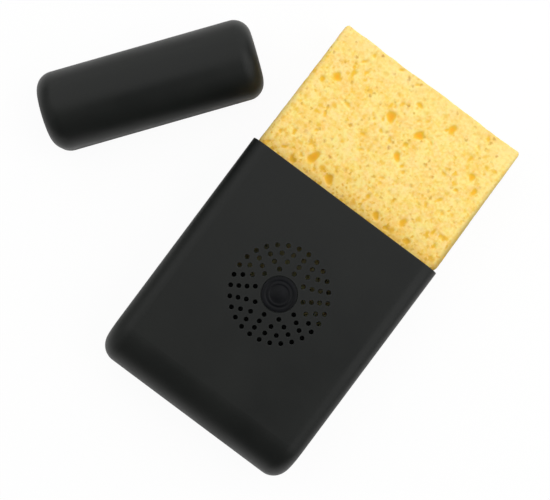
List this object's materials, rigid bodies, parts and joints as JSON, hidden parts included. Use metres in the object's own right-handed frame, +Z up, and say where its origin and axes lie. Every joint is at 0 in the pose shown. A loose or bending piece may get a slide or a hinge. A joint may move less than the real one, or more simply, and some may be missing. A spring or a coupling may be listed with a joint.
{
  "type": "vented sponge case",
  "caption": "Flat pocket case with a round grille of small vents, holding a damp cellulose sponge that slides out of its open end, with its domed end cap standing beside it.",
  "frame": {"origin": "centre of the case's flat underside, which it rests on", "axes": "+Z up, +Y along the case towards its open end, +X across its width"},
  "size_m": [0.1239, 0.1163, 0.0238],
  "materials": {
    "case_plastic": "fine satin texture, charcoal",
    "badge_plastic": "gloss, black",
    "cellulose_sponge": "open cell sponge, yellow"
  },
  "bodies": {
    "case": {"case_shell": "case_plastic", "centre_badge": "badge_plastic"},
    "sponge_block": {"sponge": "cellulose_sponge"},
    "cap": {"end_cap": "case_plastic"}
  },
  "joints": [
    {"name": "sponge_slide", "type": "slide", "parent": "case", "child": "sponge_block", "axis": [0, 1, 0], "range_m": [-0.033, 0.052]},
    {"name": "cap_lift", "type": "slide", "parent": "case", "child": "cap", "axis": [0, 0, 1], "range_m": [0, 0.06]}
  ]
}
